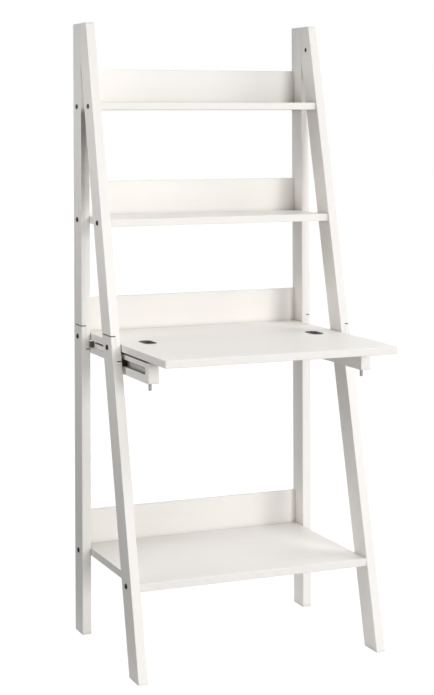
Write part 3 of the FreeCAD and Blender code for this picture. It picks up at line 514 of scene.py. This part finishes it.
def turnedSteel():
    s = Shader(bpy.data.materials.new("turnedSteel"))
    rings = s.noise(turned["rings"])
    stained = s.between(s.noise(turned["stains"]), *turned["stained"])
    rough = turned["roughness"] + rings.swing(turned["ringRough"])
    return s.finish({"Base Color": s.blend(stained, turned["colour"], turned["dull"]),
                     "Roughness": rough, "Metallic": turned["metal"],
                     "Normal": s.bump(rings, turned["depth"])})


beech = {
    "colour": (0.62, 0.44, 0.26, 1),
    "dark": (0.47, 0.31, 0.17, 1),
    "roughness": 0.6,
    "rays": ((40, 900, 900), 3, 0.6),
    "darkened": (0.35, 0.7),
    "rayRough": 0.1,
    "depth": 0.00006,
}


def bareBeech():
    s = Shader(bpy.data.materials.new("bareBeech"))
    rays = s.noise(beech["rays"])
    colour = s.blend(s.between(rays, *beech["darkened"]), beech["colour"], beech["dark"])
    return s.finish({"Base Color": colour,
                     "Roughness": beech["roughness"] + rays.swing(beech["rayRough"]),
                     "Normal": s.bump(rays, beech["depth"])})


finishes = (
    # endings of nodes and their material; the first that fits a node counts
    (("_bolts", "apex_cams", "glide_screws", "stop_screws"), coatedSteel()),
    (("_stop_block",), moulded("darkRubber", rubber)),
    (("_glide_block",), moulded("blackNylon", nylon)),
    (("_grommet",), linerPlastic()),
    (("_inserts", "_screws", "cam_dowels"), platedSteel()),
    (("_pin",), turnedSteel()),
    (("_dowels",), bareBeech()),
)
for node in nodes:
    for endings, material in finishes:
        if node.endswith(endings):
            dress(node, material)
            break
print("hardware finished")


def newObject(name, data):
    made = bpy.data.objects.new(name, data)
    bpy.context.scene.collection.objects.link(made)
    return made


def standIn(piece, node, body):
    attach(piece, body)
    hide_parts(node)


# the stop blocks reach up almost to the desktop
stopTop = {"from": 0.725, "lift": 0.0045}  # metres


def raiseStop(node):
    piece = newObject(node + "_raised", nodes[node].data.copy())
    for corner in piece.data.vertices:
        if corner.co.z > stopTop["from"]:
            corner.co.z += stopTop["lift"]
    standIn(piece, node, "desk_slide")


for side in ("left", "right"):
    raiseStop(side + "_stop_block")
print("stop blocks raised")


# cross recesses in the screws' heads
recess = {
    "span": 0.0040,                        # metres
    "width": 0.0010,
    "depth": 0.0014,
    "lift": 0.0002,                        # how far the cutter stands out of the head
    "taper": 0.45,                         # size at the bottom
    "firstTurn": 11,                       # degrees
    "nextTurn": 37,                        # from one screw to the next
    "smoothBelow": 30,                     # degrees between faces
    "weld": 0.000001,                      # metres
}
screwHeads = {
    # the body that carries the screws, and the way the left side's heads face
    "rail_screws": ("desk_slide", (0, 0, -1)),
    "stop_screws": ("desk_slide", (-1, 0, 0)),
    "runner_screws": ("frame", (1, 0, 0)),
    "glide_screws": ("frame", (0, -1, 0)),
}


def welded(mesh):
    # the same form with its faces joined at their edges
    form = bmesh.new()
    form.from_mesh(mesh)
    bmesh.ops.remove_doubles(form, verts=form.verts, dist=recess["weld"])
    whole = bpy.data.meshes.new(mesh.name + "_welded")
    form.to_mesh(whole)
    form.free()
    for name in ("custom_normal", "sharp_edge", "sharp_face"):
        if name in whole.attributes:
            whole.attributes.remove(whole.attributes[name])
    whole.materials.append(mesh.materials[0])
    return whole


def islands(mesh):
    # the corners of each separate solid in a mesh, in the order of their first corners
    form = bmesh.new()
    form.from_mesh(mesh)
    reached = set()
    found = []
    for start in form.verts:
        if start in reached:
            continue
        reached.add(start)
        queue = [start]
        corners = []
        while queue:
            corner = queue.pop()
            corners.append(corner.co.copy())
            for edge in corner.link_edges:
                other = edge.other_vert(corner)
                if other not in reached:
                    reached.add(other)
                    queue.append(other)
        found.append(corners)
    form.free()
    return found


def crossOutline(scale):
    arm = recess["span"] / 2 * scale
    half = recess["width"] / 2 * scale
    quarter = [(arm, -half), (arm, half), (half, half)]
    outline = []
    for turn in range(4):
        outline += quarter
        quarter = [(-y, x) for x, y in quarter]
    return outline


def addCross(form, centre, ahead, twist):
    # a cross that narrows as it goes into the head
    place = Matrix.Translation(centre) @ ahead.to_track_quat("Z", "Y").to_matrix().to_4x4()
    place = place @ Matrix.Rotation(math.radians(twist), 4, "Z")
    upper, lower = (
        [form.verts.new(place @ Vector((x, y, height))) for x, y in crossOutline(scale)]
        for height, scale in ((recess["lift"], 1), (-recess["depth"], recess["taper"])))
    form.faces.new(upper)
    form.faces.new(list(reversed(lower)))
    for i in range(len(upper)):
        j = (i + 1) % len(upper)
        form.faces.new((upper[i], lower[i], lower[j], upper[j]))


def headCentre(corners, ahead):
    # the middle of the solid's end that looks ahead
    centre = Vector()
    for axis in range(3):
        places = [corner[axis] for corner in corners]
        low, high = min(places), max(places)
        centre[axis] = low + (high - low) * (1 + ahead[axis]) / 2
    return centre


def crossCutter(whole, facing):
    # a cross at each screw's head, in one object
    form = bmesh.new()
    for number, corners in enumerate(islands(whole)):
        mirrored = facing[0] and sum(corner.x for corner in corners) > 0
        ahead = -Vector(facing) if mirrored else Vector(facing)
        twist = recess["firstTurn"] + number * recess["nextTurn"]
        addCross(form, headCentre(corners, ahead), ahead, twist)
    bmesh.ops.recalc_face_normals(form, faces=form.faces)
    mesh = bpy.data.meshes.new("cutter")
    form.to_mesh(mesh)
    form.free()
    return newObject("cutter", mesh)


def cutRecesses(node, body, facing):
    whole = welded(nodes[node].data)
    cutter = crossCutter(whole, facing)
    piece = newObject(node + "_recessed", whole)
    cut = piece.modifiers.new("recess", "BOOLEAN")
    cut.operation = "DIFFERENCE"
    cut.solver = "EXACT"
    cut.object = cutter
    bpy.context.view_layer.update()
    done = piece.evaluated_get(bpy.context.evaluated_depsgraph_get())
    piece.data = bpy.data.meshes.new_from_object(done)
    piece.modifiers.clear()
    bpy.data.objects.remove(cutter)
    if len(piece.data.polygons) <= len(whole.polygons):
        raise RuntimeError(node + " lost its shape in the cut")
    piece.data.shade_smooth()
    piece.data.set_sharp_from_angle(angle=math.radians(recess["smoothBelow"]))
    standIn(piece, node, body)


for node, (body, facing) in screwHeads.items():
    cutRecesses(node, body, facing)
print("screw heads recessed")


# a soft sky that is brighter towards some sides, panels around the desk and distant lamps
room = {
    "floorSize": 60,                       # metres
    "floorSeen": (0.93, 0.93, 0.93, 1),
    "floorBounce": (0.62, 0.62, 0.62, 1),  # what the floor sends back up
    "floorDim": (0.10, 0.10, 0.10, 1),     # and what it sends back on the left
    "dimEdge": (-0.50, -0.25),             # metres from the desk's middle
    "lift": 0.80,                          # share of plain white that the camera sees there
    "white": 1.16,
    "skyColour": (0.97, 0.985, 1.0, 1),
}
lobes = {
    # direction a part of the sky's light comes from, strength, how narrow it is
    "right": ((1, 0, 0), 0.25, 1),
    "above": ((0, 0, 1), 0.15, 3),
    "behindAbove": ((0.2, 1, 0.4), 2.18, 3),
}
panels = {
    # place and aim in metres, side, watts
    "high": ((0, -3.2, 2.4), (0, 0, 0.9), 2.4, 14),
    "low": ((0.3, -3.0, 0.5), (0, 0, 0.5), 1.6, 11.4),
    "frontLeft": ((-1.8, -2.4, 0.5), (0, 0, 0.5), 1.2, 12.6),
    "right": ((2.4, -0.8, 2.4), (0, 0, 0.8), 1.8, 34),
    "leftTop": ((-2.4, 0, 2.2), (0, 0, 1.2), 1.6, 3.6),
    "leftNear": ((-1.1, -0.3, 0.9), (-0.3, 0, 0.8), 0.3, 0.85),
    "leftUpper": ((-0.95, 0.1, 1.25), (-0.3, 0.15, 1.1), 0.25, 0.87),
    "under": ((-0.25, 0.05, 0.10), (0.3, 0.05, 0.14), 0.15, 0.35),
}
distant = {
    # direction the light comes from, strength, width in degrees
    "left": ((-1, 0.061, 0.25), 0.45, 12),
    "keyLow": ((0.19, -0.98, 0.176), 0.90, 15),
    "keyHigh": ((0.19, -0.98, 1.19), 0.37, 15),
}


def makeFloor():
    size = room["floorSize"] / 2
    mesh = bpy.data.meshes.new("floor")
    mesh.from_pydata([(-size, -size, 0), (size, -size, 0), (size, size, 0), (-size, size, 0)],
                     [], [(0, 1, 2, 3)])
    floor = newObject("floor", mesh)
    s = Shader(bpy.data.materials.new("paleFloor"))
    seen = s.add("ShaderNodeLightPath").out("Is Camera Ray")
    away = s.between(s.along(0), *room["dimEdge"])
    bounce = s.blend(away, room["floorDim"], room["floorBounce"])
    colour = s.blend(seen, bounce, room["floorSeen"])
    diffuse = s.add("ShaderNodeBsdfDiffuse", None, {"Color": colour})
    glow = s.add("ShaderNodeEmission", None, {"Color": (1, 1, 1, 1), "Strength": room["white"]})
    both = s.add("ShaderNodeMixShader", None,
                 {0: seen * room["lift"], 1: diffuse.out(0), 2: glow.out(0)})
    s.add("ShaderNodeOutputMaterial", None, {"Surface": both.out(0)})
    mesh.materials.append(s.owner)


def makeSky():
    world = bpy.data.worlds.new("studio")
    bpy.context.scene.world = world
    s = Shader(world)
    path = s.add("ShaderNodeLightPath")
    seen = path.out("Is Camera Ray") + path.out("Is Glossy Ray")
    where = s.add("ShaderNodeTexCoord").out("Generated")
    strength = sum(s.match(where, Vector(comesFrom).normalized()).atLeast(0) ** power * share
                   for comesFrom, share, power in lobes.values())
    light = s.add("ShaderNodeBackground", None,
                  {"Color": room["skyColour"], "Strength": strength})
    white = s.add("ShaderNodeBackground", None, {"Color": (1, 1, 1, 1), "Strength": 1})
    both = s.add("ShaderNodeMixShader", None, {0: seen, 1: light.out(0), 2: white.out(0)})
    s.add("ShaderNodeOutputWorld", None, {"Surface": both.out(0)})


def addLamp(name, kind, comesFrom, place=(0, 0, 0)):
    lamp = bpy.data.lights.new(name, kind)
    holder = newObject(name, lamp)
    holder.rotation_euler = Vector(comesFrom).to_track_quat("Z", "Y").to_euler()
    holder.location = place
    return lamp


makeFloor()
makeSky()
for name, (place, aim, size, power) in panels.items():
    panel = addLamp(name, "AREA", Vector(place) - Vector(aim), place)
    panel.energy = power
    panel.size = size
for name, (comesFrom, strength, width) in distant.items():
    lamp = addLamp(name, "SUN", comesFrom)
    lamp.energy = strength
    lamp.angle = math.radians(width)
bpy.context.scene.view_settings.view_transform = "Standard"
print("room lit")


view = {
    "place": (-1.5944, -3.7634, 1.2780),   # metres
    "heading": 22.389,                     # degrees from straight ahead towards the right
    "roll": -0.234,                        # degrees
    "focal": 1679.79,                      # in pixels of a picture 434 wide
    "centre": (217.0, 121.22),             # where the level line of sight meets the picture
    "picture": (434, 695),
    "sensor": 36,                          # millimetres
    "farthest": 100,                       # metres
}


def makeCamera():
    data = bpy.data.cameras.new("camera")
    camera = newObject("camera", data)
    heading, roll = (math.radians(view[key]) for key in ("heading", "roll"))
    ahead = Vector((math.sin(heading), math.cos(heading), 0))
    right = Vector((math.cos(heading), -math.sin(heading), 0))
    up = right.cross(ahead)
    across = math.cos(roll) * right + math.sin(roll) * up
    upright = -math.sin(roll) * right + math.cos(roll) * up
    camera.matrix_world = Matrix.Translation(view["place"]) @ Matrix(
        (across, upright, -ahead)).transposed().to_4x4()
    width, height = view["picture"]
    data.sensor_fit = "HORIZONTAL"
    data.sensor_width = view["sensor"]
    data.lens = view["focal"] / width * data.sensor_width
    data.shift_x = (width / 2 - view["centre"][0]) / width
    data.shift_y = (view["centre"][1] - height / 2) / width
    data.clip_end = view["farthest"]
    bpy.context.scene.camera = camera


makeCamera()
print("camera placed")
